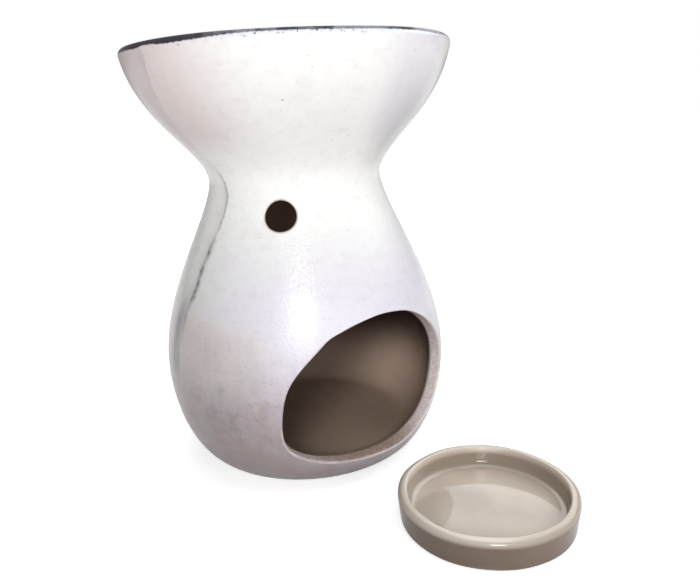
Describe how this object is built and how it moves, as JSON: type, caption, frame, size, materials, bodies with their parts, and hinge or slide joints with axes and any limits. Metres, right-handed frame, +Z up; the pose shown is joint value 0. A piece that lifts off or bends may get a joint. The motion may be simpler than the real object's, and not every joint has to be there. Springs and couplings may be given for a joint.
{
  "type": "oil burner",
  "caption": "Hourglass ceramic oil burner with a candle window, vents and an open bowl on top, and a loose tealight dish that lifts off.",
  "frame": {"origin": "centre of the burner's flat underside, on the table", "axes": "+Z up along the burner's axis; the candle window faces -Y, and the dish stands in front of it"},
  "size_m": [0.1062, 0.1605, 0.14],
  "materials": {
    "white_glaze": "glossy white glaze with fine dark specks and a dark, ragged rim line outside, and warm taupe glaze inside the bowl and the chamber",
    "bowl_glaze": "glossy warm taupe glaze, pooled round the disc that closes the throat",
    "taupe_glaze": "glossy warm taupe glaze"
  },
  "bodies": {
    "burner": {"burner_body": "white_glaze", "bowl_floor": "bowl_glaze"},
    "dish": {"tealight_dish": "taupe_glaze"}
  },
  "joints": [
    {"name": "dish_lift", "type": "slide", "parent": "burner", "child": "dish", "axis": [0, 0, 1], "range_m": [0, 0.145]}
  ]
}
